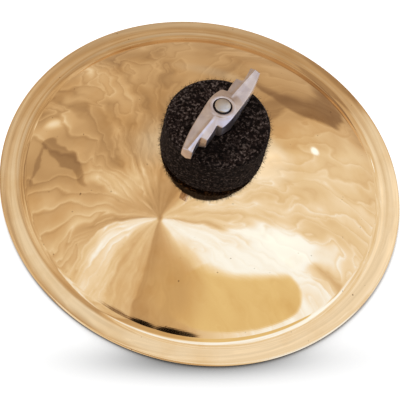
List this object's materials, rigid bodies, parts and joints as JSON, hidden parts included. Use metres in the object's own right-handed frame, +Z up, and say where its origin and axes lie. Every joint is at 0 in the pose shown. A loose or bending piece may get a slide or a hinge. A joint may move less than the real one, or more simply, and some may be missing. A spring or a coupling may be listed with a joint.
{
  "type": "bell cymbal",
  "caption": "Domed bronze bell cymbal held between felt washers on a threaded post, clamped by a wing nut, for the top of a cymbal stand.",
  "frame": {"origin": "centre of the plane that the flange rests on, on the post's axis", "axes": "+Z up along the post, from the coupling towards the wing nut; +X to the right as seen from the front"},
  "size_m": [0.1524, 0.1524, 0.0565],
  "materials": {
    "bronze": "mirror polished cast bronze",
    "charcoal_felt": "pressed wool felt",
    "sleeve_plastic": "moulded nylon",
    "plated_steel": "bright zinc plated steel",
    "cast_zinc": "satin die-cast zinc"
  },
  "bodies": {
    "post": {"threaded_rod": "plated_steel", "jam_nut": "plated_steel", "base_coupling": "plated_steel", "seat_washer": "plated_steel"},
    "cymbal_seat": {"sleeve": "sleeve_plastic", "lower_felt": "charcoal_felt"},
    "cymbal": {"bell_cymbal": "bronze"},
    "upper_felt": {"upper_felt": "charcoal_felt"},
    "wing_nut": {"wing_nut": "cast_zinc"}
  },
  "joints": [
    {"name": "cymbal_spin", "type": "hinge", "parent": "post", "child": "cymbal_seat", "pos_m": [0, 0, 0.0278], "axis": [0, 0, 1], "continuous": true},
    {"name": "cymbal_rock", "type": "hinge", "parent": "cymbal_seat", "child": "cymbal", "pos_m": [0, 0, 0.0278], "axis": [1, 0, 0], "range_deg": [-4, 4], "stiffness_Nm_per_rad": 2},
    {"name": "felt_rise", "type": "slide", "parent": "post", "child": "upper_felt", "axis": [0, 0, 1], "range_m": [0, 0.0025]},
    {"name": "wing_nut_turn", "type": "hinge", "parent": "upper_felt", "child": "wing_nut", "pos_m": [0, 0, 0.0278], "axis": [0, 0, 1], "range_deg": [0, 900]}
  ],
  "couplings": [
    {"joint": "wing_nut_turn", "follows": "felt_rise", "rad_per_m": 6283.2}
  ]
}
